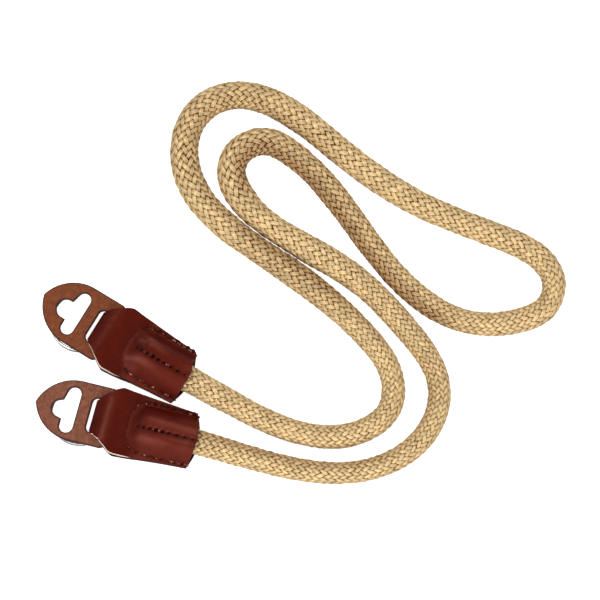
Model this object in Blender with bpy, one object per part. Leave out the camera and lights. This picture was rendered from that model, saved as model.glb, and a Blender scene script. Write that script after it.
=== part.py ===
"""Camera neck strap: a braided rope with a folded leather end on each side.

The strap lies flat on a surface at z = 0, in two nested hairpins. +X points to the far loops of the
rope, +Y to the upper end, +Z up. The origin is on the surface, midway between the two leather ends.

Each leather end has its own frame: x runs from the tip of the guard tab towards the rope, y across
the end, and z up from the surface. Sizes are in metres.
"""

import math

import bmesh
import bpy
import numpy as np

MM = 0.001

# Where the tip of each guard tab lies, and which way the end points, in degrees from +X.
# The two ends were cut by hand, so they differ a little. From "fold_shift" on, values are in
# millimetres: how far the fold and the rest of the sleeve lie from the place in the tables below, along
# the end and across it, how far the mouth is cut aslant, the tab's length and half width, how far its sides drift off to one
# side ("lean", per millimetre), the places of its hole and its slot, and the hole's round lobe as x, y
# and radius.
ENDS = {
    "upper": {
        "tip": (-31.2 * MM, 34.05 * MM),
        "angle": -30.9,
        "ring_x": 19.0 * MM,
        "ring_y": -1.6 * MM,
        "fold_shift": 1.2,
        "sleeve_shift": 0.8,
        "sleeve_y": -0.65,
        "mouth_slant": 0.9,
        "tab_length": 33.8,
        "tab_half_width": 13.2,
        "lean": -0.024,
        "hole_shift": 1.0,
        "slot_shift": 0.7,
        "lobe": (11.2, -0.5, 4.0),
    },
    "lower": {
        "tip": (-33.8 * MM, -11.15 * MM),
        "angle": -14.6,
        "ring_x": 19.4 * MM,
        "ring_y": -0.35 * MM,
        "fold_shift": 0.3,
        "sleeve_shift": -0.8,
        "sleeve_y": -0.2,
        "mouth_slant": 0.4,
        "tab_length": 33.0,
        "tab_half_width": 12.75,
        "lean": 0.0,
        "hole_shift": 0.1,
        "slot_shift": -0.4,
        "lobe": (10.9, -0.5, 3.6),
    },
}

# Rope
ROPE_DIAMETER = 11.2 * MM
ROPE_INNER_END = 48.7 * MM  # x in the end's frame, inside the sleeve
ROPE_SQUEEZED = 0.84  # radius inside the sleeve, as a share of the free radius
ROPE_LIFT = 1.85 * MM  # under the rope inside the sleeve: the leather below it and a gap
ROPE_EASE_RUN = 24.0 * MM  # from the mouth to where the rope is round and lies on the surface
ROPE_STEP = 26.0 * MM  # the most between two rings of the tube
ROPE_TURN = math.radians(23)  # the most that the tube turns between two rings
# The free route on the surface, from the upper end to the lower one: x, y in millimetres.
ROUTE = (
    (51.1, -14.3), (80.4, -25.8), (100.5, -24.3), (112.4, -15.0), (113.7, -1.9), (102.0, 17.1),
    (72.9, 42.5), (46.9, 61.1), (30.2, 80.5), (26.9, 100.1), (34.2, 114.8), (49.6, 120.5),
    (66.1, 115.9), (92.3, 96.1), (127.0, 72.0), (161.8, 57.4), (176.7, 48.6), (181.7, 39.1),
    (178.7, 28.7), (169.2, 23.1), (143.8, 22.4), (118.0, 39.2), (94.2, 70.6), (70.9, 95.6),
    (61.4, 100.0), (51.4, 97.1), (46.6, 87.8), (49.7, 77.4), (75.9, 55.1), (97.6, 41.5),
    (120.3, 18.5), (133.2, -5.5), (130.6, -20.0), (111.1, -37.7), (90.0, -41.5), (56.5, -35.5),
)

# Leather sleeve
SLEEVE_MOUTH = 67.7 * MM  # x of the corners of the mouth, where the rope comes out
MOUTH_BULGE = 2.6  # how far the mouth reaches past its corners in the middle, millimetres
FOLD_X = 24.7 * MM  # x of the outermost line of the fold
FOLD_DEPTH = 3.4 * MM  # how far the fold curves back before it is full height
FOLD_HEIGHT = 9.15 * MM
# Between these two x, in millimetres, the fold's shift turns into that of the rest of the sleeve.
SHIFT_RUN = (28.1, 32.0)
# Round the fold: degrees from its foremost line to its top, and the half width there in millimetres.
FOLD_ROWS = ((12, 6.5), (30, 6.6), (50, 7.7), (70, 8.9), (90, 10.0))
# Outer form of the sleeve behind the fold, in millimetres. "sole" is the height of the underside of
# the sewn margin, "deck" the height of its top and "lobe" how far the rope pushes the middle up.
# "mouth" is 1 in the row that has the mouth's own outline.
SLEEVE_COLUMNS = ("x", "half_width", "sole", "deck", "lobe", "mouth")
SLEEVE_ROWS = (
    (32.0, 12.0, 0.0, 9.15, 0.0, 0),
    (35.6, 13.7, 0.0, 9.0, 0.0, 0),
    (37.3, 13.75, 0.1, 8.2, 0.0, 0),
    (39.0, 13.7, 0.6, 6.6, 0.0, 0),
    (41.0, 13.6, 1.2, 5.4, 7.0, 0),
    (42.4, 13.5, 1.6, 5.1, 7.0, 0),
    (43.8, 13.4, 1.9, 5.1, 7.2, 0),
    (45.2, 13.3, 2.1, 5.3, 7.4, 0),
    (46.8, 13.2, 2.4, 5.5, 7.6, 0),
    (50.0, 12.95, 2.8, 5.8, 7.4, 0),
    (58.0, 12.4, 3.0, 6.0, 7.2, 0),
    (SLEEVE_MOUTH / MM, 11.7, 3.1, 6.2, 7.1, 1),
)
# The rope's pocket seen from above: an arch with rounded shoulders, open at the mouth.
POCKET_FRONT = 41.0  # millimetres
POCKET_SHARE = 0.80  # of the sleeve's half width
POCKET_SHOULDER = 6.0  # radius, millimetres
POCKET_FLANK = 4.8  # how far in from its edge the pocket reaches its full height, millimetres
CREASE = 0.94  # height left along the sewn crease in the middle, as a share of the lobe
# Where the points lie from the edge to the middle, as shares of the half width.
ACROSS = (1.0, 0.88, 0.80, 0.73, 0.66, 0.59, 0.51, 0.43, 0.30, 0.14, 0.0)

# The room for the rope: x, floor, ceiling and half width, in millimetres.
POCKET_ROWS = (
    (46.9, 1.5, 11.65, 7.4),
    (58.0, 1.5, 11.65, 7.6),
    (72.0, 1.5, 11.75, 7.8),
)
# Shape of the pocket: share of its half width, and of its height.
POCKET_OUTLINE = ((0.72, 0.0), (0.95, 0.16), (1.0, 0.4), (0.96, 0.7), (0.72, 1.0))

# The room inside the folded loop, open on both sides: x, floor and ceiling, in millimetres.
LOOP_ROWS = (
    (26.2, 3.6, 5.6),
    (26.7, 2.3, 6.8),
    (27.5, 1.6, 7.5),
    (29.0, 1.5, 7.65),
    (35.9, 1.5, 7.65),
    (37.2, 2.5, 6.5),
)
LOOP_REACH = 16.0 * MM  # to each side, past the leather

# On each side the fold is notched where it passes through the tab's slot.
NOTCH_X = (24.0 * MM, 30.0 * MM)
NOTCH_Y = 6.6 * MM
NOTCH_Z = (1.5 * MM, 7.0 * MM)

# Guard tab
TAB_THICKNESS = 2.0 * MM
TAB_STRAIGHT_X = 17.3 * MM  # where the curved nose meets the straight sides
TAB_NOSE_RADIUS = 18.2 * MM
TAB_TIP_RADIUS = 1.5 * MM
TAB_REAR_RADIUS = 2.5 * MM
TAB_LIFT = 2.2 * MM  # under the tip
TAB_TILT = 5.0  # degrees: the tab rises over the ring towards the loop
# The three-lobed hole: its two crosswise ends are circles of this radius at (x, y), and its straight
# sides meet the round lobe near the two notches. Millimetres.
HOLE_END_RADIUS = 2.9
HOLE_ENDS = ((14.95, 6.6), (14.95, -6.95))
HOLE_NOTCHES = ((11.2, 3.5), (12.1, -4.45))
SLOT_X = (23.7 * MM, 28.4 * MM)
SLOT_HALF = 7.1 * MM
SLOT_CORNER = 1.4 * MM
CUT_MARGIN = 1.0 * MM

# Split ring: one wire that goes round nearly twice, with a step up after the first turn
RING_OUTER_RADIUS = 13.4 * MM
RING_WIRE_WIDTH = 1.5 * MM
RING_WIRE_HEIGHT = 1.1 * MM
RING_COIL_PITCH = 1.2 * MM
RING_STEP_START = 305.0  # degrees along the wire
RING_STEP_END = 360.0
RING_END = 662.0
RING_SEGMENTS = 58
RING_FIRST_ANGLE = 200.0  # where the lower end of the wire lies
RING_CORNER = 0.3  # share of the wire's height and width that its rounded edges take

ROPE_COLOUR = "cdaa73"
SLEEVE_COLOUR = "5c1d17"
TAB_COLOUR = "96533a"
RING_COLOUR = "c9cacc"


def linear_colour(hex_code):
    """sRGB hex to the linear values that a shader takes."""
    values = [int(hex_code[i : i + 2], 16) / 255 for i in (0, 2, 4)]
    return [v / 12.92 if v <= 0.04045 else ((v + 0.055) / 1.055) ** 2.4 for v in values] + [1.0]


def make_material(name, hex_code, roughness, metallic=0.0):
    material = bpy.data.materials.new(name)
    material.use_nodes = True
    shader = material.node_tree.nodes["Principled BSDF"]
    shader.inputs["Base Color"].default_value = linear_colour(hex_code)
    shader.inputs["Roughness"].default_value = roughness
    shader.inputs["Metallic"].default_value = metallic
    material.diffuse_color = linear_colour(hex_code)
    return material


def clear_scene():
    for obj in list(bpy.data.objects):
        bpy.data.objects.remove(obj)


def add_object(name, data, parent=None):
    obj = bpy.data.objects.new(name, data)
    bpy.context.scene.collection.objects.link(obj)
    obj.parent = parent
    return obj


def make_cutter(obj):
    obj.hide_render = True
    obj.display_type = "WIRE"


def cut(obj, cutter):
    boolean = obj.modifiers.new(cutter.name, "BOOLEAN")
    boolean.operation = "DIFFERENCE"
    boolean.solver = "EXACT"
    boolean.object = cutter


def mesh_from(bm, name):
    bmesh.ops.recalc_face_normals(bm, faces=bm.faces)
    mesh = bpy.data.meshes.new(name)
    bm.to_mesh(mesh)
    bm.free()
    return mesh


def loft_mesh(name, loops):
    """A closed body through loops of points. In each loop the last half mirrors the first half."""
    bm = bmesh.new()
    rings = [[bm.verts.new(point) for point in loop] for loop in loops]
    count = len(rings[0])
    for near, far in zip(rings, rings[1:]):
        for i in range(count):
            j = (i + 1) % count
            bm.faces.new((near[i], near[j], far[j], far[i]))
    for ring in (rings[0], rings[-1]):
        for i in range(count // 2 - 1):
            bm.faces.new((ring[i], ring[i + 1], ring[-2 - i], ring[-1 - i]))
    return mesh_from(bm, name)


def plate_mesh(name, outline, bottom, top):
    """A flat plate from an outline of (x, y) points."""
    bm = bmesh.new()
    low = [bm.verts.new((x, y, bottom)) for x, y in outline]
    high = [bm.verts.new((x, y, top)) for x, y in outline]
    count = len(outline)
    for i in range(count):
        j = (i + 1) % count
        bm.faces.new((low[i], low[j], high[j], high[i]))
    bm.faces.new(low)
    bm.faces.new(high)
    return mesh_from(bm, name)


def arc(centre, radius, start, end, steps):
    """Points on an arc, angles in degrees."""
    points = []
    for i in range(steps + 1):
        angle = math.radians(start + (end - start) * i / steps)
        points.append((centre[0] + radius * math.cos(angle), centre[1] + radius * math.sin(angle)))
    return points


# ---- rope


def end_point(end, x):
    """A point on an end's middle line, seen from above."""
    angle = math.radians(end["angle"])
    return end["tip"][0] + x * math.cos(angle), end["tip"][1] + x * math.sin(angle)


def route_points():
    upper, lower = ENDS["upper"], ENDS["lower"]
    before_mouth = SLEEVE_MOUTH - 2 * MM
    start = [end_point(upper, ROPE_INNER_END), end_point(upper, before_mouth)]
    finish = [end_point(lower, before_mouth), end_point(lower, ROPE_INNER_END)]
    return np.array(start + [(x * MM, y * MM) for x, y in ROUTE] + finish)


def smooth_curve(points, steps=24):
    """Natural cubic spline through the points, measured along their chords."""
    chords = np.hypot(*np.diff(points, axis=0).T)
    count = len(points)
    matrix = np.eye(count)
    right = np.zeros_like(points)
    slopes = np.diff(points, axis=0) / chords[:, None]
    for i in range(1, count - 1):
        matrix[i, i - 1 : i + 2] = chords[i - 1], 2 * (chords[i - 1] + chords[i]), chords[i]
        right[i] = 6 * (slopes[i] - slopes[i - 1])
    bend = np.linalg.solve(matrix, right)
    curve = []
    for i, chord in enumerate(chords):
        for step in range(steps):
            after = chord * step / steps
            before = chord - after
            curve.append(
                (bend[i] * before**3 + bend[i + 1] * after**3) / (6 * chord)
                + (points[i] / chord - bend[i] * chord / 6) * before
                + (points[i + 1] / chord - bend[i + 1] * chord / 6) * after
            )
    curve.append(points[-1])
    return np.array(curve)


def ease(value):
    value = np.clip(value, 0.0, 1.0)
    return value * value * (3 - 2 * value)


def rope_rings():
    """The tube's ring centres and radii: more of them where the rope bends sharply."""
    curve = smooth_curve(route_points())
    steps = np.diff(curve, axis=0)
    lengths = np.hypot(*steps.T)
    headings = np.unwrap(np.arctan2(steps[:, 1], steps[:, 0]))
    turns = np.abs(np.diff(headings, append=headings[-1]))
    along = np.concatenate([[0], np.cumsum(lengths)])
    effort = np.concatenate([[0], np.cumsum(lengths / ROPE_STEP + turns / ROPE_TURN)])
    rings = np.interp(np.linspace(0, effort[-1], math.ceil(effort[-1]) + 1), effort, along)
    x = np.interp(rings, along, curve[:, 0])
    y = np.interp(rings, along, curve[:, 1])
    from_end = np.minimum(rings, along[-1] - rings)
    past_mouth = ease((from_end - SLEEVE_MOUTH + ROPE_INNER_END) / ROPE_EASE_RUN)
    share = ROPE_SQUEEZED + (1 - ROPE_SQUEEZED) * past_mouth
    z = share * ROPE_DIAMETER / 2 + ROPE_LIFT * (1 - past_mouth)
    return np.column_stack([x, y, z]), share


def make_rope(material):
    centres, shares = rope_rings()
    data = bpy.data.curves.new("rope", "CURVE")
    data.dimensions = "3D"
    data.bevel_depth = ROPE_DIAMETER / 2
    data.bevel_resolution = 4
    data.use_fill_caps = True
    spline = data.splines.new("POLY")
    spline.points.add(len(centres) - 1)
    for point, centre, share in zip(spline.points, centres, shares):
        point.co = (*centre, 1.0)
        point.radius = share
    data.materials.append(material)
    add_object("rope", data)


# ---- leather sleeve


def pocket_share(x, y, half_width):
    """How much of its full height the pocket has at (x, y): 0 outside its edge, 1 well inside."""
    reach_y = half_width * POCKET_SHARE
    inside_x = x - POCKET_FRONT
    inside_y = reach_y - abs(y)
    if inside_x < POCKET_SHOULDER and inside_y < POCKET_SHOULDER:
        corner = math.hypot(POCKET_SHOULDER - inside_x, POCKET_SHOULDER - inside_y)
        inside = POCKET_SHOULDER - corner
    else:
        inside = min(inside_x, inside_y)
    return float(ease(inside / POCKET_FLANK))


def shifted(x, end):
    """x in millimetres along one end's own sleeve."""
    share = (x - SHIFT_RUN[0]) / (SHIFT_RUN[1] - SHIFT_RUN[0])
    share = min(max(share, 0.0), 1.0)
    return x + end["fold_shift"] + (end["sleeve_shift"] - end["fold_shift"]) * share


def sleeve_section(row, end):
    """One closed loop of points across the sleeve, worked out in millimetres."""
    top = []
    bottom = []
    for side in ACROSS + tuple(-side for side in reversed(ACROSS[:-1])):
        y = row["half_width"] * side
        outline = MOUTH_BULGE * (1 - side * side) - end["mouth_slant"] * side
        x = shifted(row["x"], end) + row["mouth"] * outline
        share = pocket_share(row["x"], y, row["half_width"])
        crease = CREASE if side == 0.0 else 1.0
        y += end["sleeve_y"]
        top.append((x * MM, y * MM, (row["deck"] + row["lobe"] * share * crease) * MM))
        bottom.append((x * MM, y * MM, row["sole"] * (1 - share) * MM))
    return top + bottom[::-1]


def fold_rows():
    """The rows round the fold, as a half ellipse seen from the side."""
    rows = []
    middle = FOLD_HEIGHT / MM / 2
    for angle, half_width in FOLD_ROWS:
        turn = math.radians(angle)
        x = (FOLD_X + FOLD_DEPTH * (1 - math.cos(turn))) / MM
        rise = middle * math.sin(turn)
        rows.append((x, half_width, middle - rise, middle + rise, 0.0, 0))
    return rows


def sleeve_loops(end):
    rows = fold_rows() + list(SLEEVE_ROWS)
    return [sleeve_section(dict(zip(SLEEVE_COLUMNS, row)), end) for row in rows]


def pocket_loops(end):
    loops = []
    for x, floor, ceiling, half_width in POCKET_ROWS:
        side = [(half_width * w, floor + (ceiling - floor) * h) for w, h in POCKET_OUTLINE]
        around = side + [(-y, z) for y, z in reversed(side)]
        loops.append([(shifted(x, end) * MM, y * MM, z * MM) for y, z in around])
    return loops


def loop_room_loops(end):
    loops = []
    reach = LOOP_REACH
    for x, floor, ceiling in LOOP_ROWS:
        corners = ((reach, floor), (reach, ceiling), (-reach, ceiling), (-reach, floor))
        loops.append([(shifted(x, end) * MM, y, z * MM) for y, z in corners])
    return loops


def notch_mesh(name, sign, end):
    near, far = sign * NOTCH_Y + end["sleeve_y"] * MM, sign * LOOP_REACH
    x0, x1 = (x + end["fold_shift"] * MM for x in NOTCH_X)
    outline = [(x0, near), (x1, near), (x1, far), (x0, far)]
    return plate_mesh(name, outline, *NOTCH_Z)


def make_sleeve(side, frame, end, material):
    name = "leather_sleeve_" + side
    sleeve = add_object(name, loft_mesh(name, sleeve_loops(end)), frame)
    sleeve.data.materials.append(material)
    rooms = [
        loft_mesh("pocket_" + side, pocket_loops(end)),
        loft_mesh("loop_room_" + side, loop_room_loops(end)),
        notch_mesh("left_notch_" + side, 1, end),
        notch_mesh("right_notch_" + side, -1, end),
    ]
    for room in rooms:
        cutter = add_object(room.name, room, frame)
        make_cutter(cutter)
        cut(sleeve, cutter)


# ---- guard tab


def leaned(points, end):
    return [(x, y + end["lean"] * x) for x, y in points]


def tab_outline(end):
    """The pointed nose from two arcs, straight sides, and a rear edge with rounded corners."""
    length, half_width = end["tab_length"] * MM, end["tab_half_width"] * MM
    centre_y = half_width - TAB_NOSE_RADIUS
    # The tip's small circle touches both nose arcs from inside.
    reach = TAB_NOSE_RADIUS - TAB_TIP_RADIUS
    tip_x = TAB_STRAIGHT_X - math.sqrt(reach**2 - centre_y**2)
    touch = math.degrees(math.atan2(-centre_y, tip_x - TAB_STRAIGHT_X))
    nose = arc((TAB_STRAIGHT_X, centre_y), TAB_NOSE_RADIUS, 90, touch, 12)
    tip = arc((tip_x, 0.0), TAB_TIP_RADIUS, touch, 180, 3)[1:]
    rear_centre = (length - TAB_REAR_RADIUS, half_width - TAB_REAR_RADIUS)
    rear = arc(rear_centre, TAB_REAR_RADIUS, 0, 90, 4)
    half = rear + nose + tip
    return leaned(half + [(x, -y) for x, y in reversed(half[:-1])], end)


def hole_outline(end):
    """One round, worked out in millimetres: the upper end, the lobe and the lower end."""
    shift = end["hole_shift"]
    (upper_x, upper_y), (lower_x, lower_y) = HOLE_ENDS
    (upper_notch_x, upper_notch_y), (lower_notch_x, lower_notch_y) = HOLE_NOTCHES
    lobe_x, lobe_y, lobe_radius = end["lobe"]
    points = arc((upper_x + shift, upper_y), HOLE_END_RADIUS, 0, 165, 10)
    points.append((upper_notch_x + shift, upper_notch_y))
    points += arc((lobe_x, lobe_y), lobe_radius, 100, 260, 12)
    points.append((lower_notch_x + shift, lower_notch_y))
    points += arc((lower_x + shift, lower_y), HOLE_END_RADIUS, 195, 360, 10)
    return leaned([(x * MM, y * MM) for x, y in points], end)


def slot_outline(end):
    shift = end["slot_shift"] * MM
    x0, x1 = SLOT_X[0] + SLOT_CORNER + shift, SLOT_X[1] - SLOT_CORNER + shift
    y = SLOT_HALF - SLOT_CORNER
    corners = (((x1, y), 0), ((x0, y), 90), ((x0, -y), 180), ((x1, -y), 270))
    points = [p for centre, start in corners for p in arc(centre, SLOT_CORNER, start, start + 90, 4)]
    return leaned(points, end)


def make_tab(side, frame, end, material):
    name = "guard_tab_" + side
    tab = add_object(name, plate_mesh(name, tab_outline(end), 0.0, TAB_THICKNESS), frame)
    tab.data.materials.append(material)
    tab.location = (0.0, 0.0, TAB_LIFT)
    tab.rotation_euler = (0.0, -math.radians(TAB_TILT), 0.0)
    for prefix, outline in (("hole_", hole_outline(end)), ("slot_", slot_outline(end))):
        data = plate_mesh(prefix + side, outline, -CUT_MARGIN, TAB_THICKNESS + CUT_MARGIN)
        cutter = add_object(prefix + side, data, tab)
        make_cutter(cutter)
        cut(tab, cutter)


# ---- split ring


def wire_section():
    """Half width and half height of the wire, with rounded edges: (outwards, up) points."""
    w, h = RING_WIRE_WIDTH / 2, RING_WIRE_HEIGHT / 2
    flat_w, flat_h = w * (1 - RING_CORNER), h * (1 - RING_CORNER)
    quarter = [(w, flat_h), (flat_w, h)]
    upper = quarter + [(-out, up) for out, up in reversed(quarter)]
    return upper + [(out, -up) for out, up in reversed(upper)]


def make_ring(side, frame, end, material):
    radius = RING_OUTER_RADIUS - RING_WIRE_WIDTH / 2
    loops = []
    for i in range(RING_SEGMENTS + 1):
        turn = RING_END * i / RING_SEGMENTS
        step = float(ease((turn - RING_STEP_START) / (RING_STEP_END - RING_STEP_START)))
        z = RING_WIRE_HEIGHT / 2 + RING_COIL_PITCH * step
        angle = math.radians(RING_FIRST_ANGLE + turn)
        loop = []
        for out, up in wire_section():
            reach = radius + out
            loop.append((reach * math.cos(angle), reach * math.sin(angle), z + up))
        loops.append(loop)
    name = "split_ring_" + side
    ring = add_object(name, loft_mesh(name, loops), frame)
    ring.data.materials.append(material)
    ring.data.shade_smooth()
    ring.data.set_sharp_from_angle(angle=math.radians(35))
    ring.location = (end["ring_x"], end["ring_y"], RING_OUTER_RADIUS * math.sin(math.radians(TAB_TILT)))
    ring.rotation_euler = (0.0, -math.radians(TAB_TILT), 0.0)


def main():
    clear_scene()
    rope_material = make_material("braided satin rope", ROPE_COLOUR, 0.55)
    sleeve_material = make_material("oxblood smooth leather", SLEEVE_COLOUR, 0.35)
    tab_material = make_material("brown matt leather", TAB_COLOUR, 0.75)
    ring_material = make_material("bright steel", RING_COLOUR, 0.2, metallic=1.0)
    make_rope(rope_material)
    for side, end in ENDS.items():
        frame = add_object("end_" + side, None)
        frame.location = (*end["tip"], 0.0)
        frame.rotation_euler = (0.0, 0.0, math.radians(end["angle"]))
        make_sleeve(side, frame, end, sleeve_material)
        make_tab(side, frame, end, tab_material)
        make_ring(side, frame, end, ring_material)


main()
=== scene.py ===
import math
from contextlib import contextmanager
from functools import partial

import bpy
import numpy as np
from mathutils import Matrix, Vector, noise


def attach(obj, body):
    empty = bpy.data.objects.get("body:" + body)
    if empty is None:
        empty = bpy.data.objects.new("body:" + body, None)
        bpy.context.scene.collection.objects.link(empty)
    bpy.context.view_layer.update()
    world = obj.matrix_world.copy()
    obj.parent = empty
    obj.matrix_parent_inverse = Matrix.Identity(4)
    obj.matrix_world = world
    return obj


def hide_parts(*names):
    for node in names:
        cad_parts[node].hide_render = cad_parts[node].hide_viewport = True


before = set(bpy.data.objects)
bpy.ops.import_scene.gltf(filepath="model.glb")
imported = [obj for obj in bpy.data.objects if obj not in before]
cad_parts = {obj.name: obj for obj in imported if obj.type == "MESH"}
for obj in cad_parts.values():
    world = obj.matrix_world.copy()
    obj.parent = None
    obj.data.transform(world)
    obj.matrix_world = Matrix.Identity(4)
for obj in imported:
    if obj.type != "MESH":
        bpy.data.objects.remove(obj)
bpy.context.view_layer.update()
mm = 0.001
print("frame loaded")


# ---------- camera, as the photo was taken: nearly from above, from the picture's lower side
cameraSetup = {
    "elevation": 78.0,  # degrees above the table
    "distance": 1.0,
    "target": (0.07560, 0.03244, 0.0),  # the ground point in the middle of the picture
    "lens": 142.9,
    "sensor": 36.0,
}


def addCamera(setup):
    lift = math.radians(setup["elevation"])
    back = Vector((0.0, -math.cos(lift), math.sin(lift)))
    camera = bpy.data.objects.new("camera", bpy.data.cameras.new("camera"))
    camera.data.lens = setup["lens"]
    camera.data.sensor_width = setup["sensor"]
    camera.location = Vector(setup["target"]) + back * setup["distance"]
    camera.rotation_mode = "QUATERNION"
    camera.rotation_quaternion = (-back).to_track_quat("-Z", "Y")
    camera.data.clip_start = 0.01
    camera.data.clip_end = 20.0
    bpy.context.scene.collection.objects.link(camera)
    bpy.context.scene.camera = camera


addCamera(cameraSetup)


# ---------- helpers
def toLinear(hexCode):
    # sRGB hex to the linear colour that the shader takes
    values = [int(hexCode[i : i + 2], 16) / 255 for i in (0, 2, 4)]
    return tuple(v / 12.92 if v <= 0.04045 else ((v + 0.055) / 1.055) ** 2.4 for v in values) + (1.0,)


def setSockets(node, settings):
    for name, value in settings.items():
        node.inputs[name].default_value = toLinear(value) if isinstance(value, str) else value


def plug(node, links):
    for name, source in links.items():
        node.id_data.links.new(source, node.inputs[name])


def addNode(tree, kind, settings=(), links=(), out=0):
    # one node with its properties, ramp stops, socket values and incoming links; gives back the output that is used
    node = tree.nodes.new("ShaderNode" + kind)
    for name, value in dict(settings).items():
        if name == "stops":
            stops = node.color_ramp.elements
            stops[0].position, stops[1].position = value[0][0], value[-1][0]
            for place, _ in value[1:-1]:
                stops.new(place)
            for stop, (_, hexCode) in zip(stops, value):
                stop.color = toLinear(hexCode)
        elif isinstance(name, str) and hasattr(node, name):
            setattr(node, name, value)
        else:
            setSockets(node, {name: value})
    plug(node, dict(links))
    return node.outputs[out]


# settings of a Mix node: its colours are sockets 6 and 7, and the mixed one is output 2
blended = {"data_type": "RGBA"}
multiplied = {"data_type": "RGBA", "blend_type": "MULTIPLY", "Factor": 1.0}
grainRange = {"From Min": 0.3, "From Max": 0.7}  # where nearly all of a noise lies


def newMaterial(name, shaderSettings):
    material = bpy.data.materials.new(name)
    material.use_nodes = True
    shader = material.node_tree.nodes["Principled BSDF"]
    setSockets(shader, shaderSettings)
    return material, shader, partial(addNode, material.node_tree)


def grainMaterial(name, shaderSettings, grain, stops):
    # a material with nothing but a fine grain in its colour
    material, shader, add = newMaterial(name, shaderSettings)
    place = add("TexCoord", out="Object")
    cloud = add("TexNoise", grain, {"Vector": place})
    plug(shader, {"Base Color": add("ValToRGB", {"stops": stops}, {"Fac": cloud})})
    return material


@contextmanager
def editMode():
    # edit mode, with all of the mesh selected
    bpy.ops.object.mode_set(mode="EDIT")
    bpy.ops.mesh.select_all(action="SELECT")
    yield
    bpy.ops.object.mode_set(mode="OBJECT")


def applyModifier(piece, kind, **settings):
    modifier = piece.modifiers.new(kind, kind)
    for name, value in settings.items():
        setattr(modifier, name, value)
    bpy.ops.object.modifier_apply(modifier=modifier.name)


def ease(value):
    value = np.clip(value, 0.0, 1.0)
    return value * value * (3 - 2 * value)


def addPiece(name, points, faces, *materials):
    mesh = bpy.data.meshes.new(name)
    mesh.from_pydata(points.tolist(), [], faces)
    piece = bpy.data.objects.new(name, mesh)
    bpy.context.scene.collection.objects.link(piece)
    for material in materials:
        mesh.materials.append(material)
    return piece


def storeValues(mesh, name, values):
    layer = mesh.attributes.new(name, "FLOAT", "POINT")
    layer.data.foreach_set("value", np.asarray(values, np.float32).ravel())


def storeMap(mesh, flat):
    # a UV map from one (u, v) per point
    corners = np.empty(len(mesh.loops), np.int32)
    mesh.loops.foreach_get("vertex_index", corners)
    layer = mesh.uv_layers.new(name="surface")
    layer.data.foreach_set("uv", np.asarray(flat, np.float32)[corners].ravel())


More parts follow.
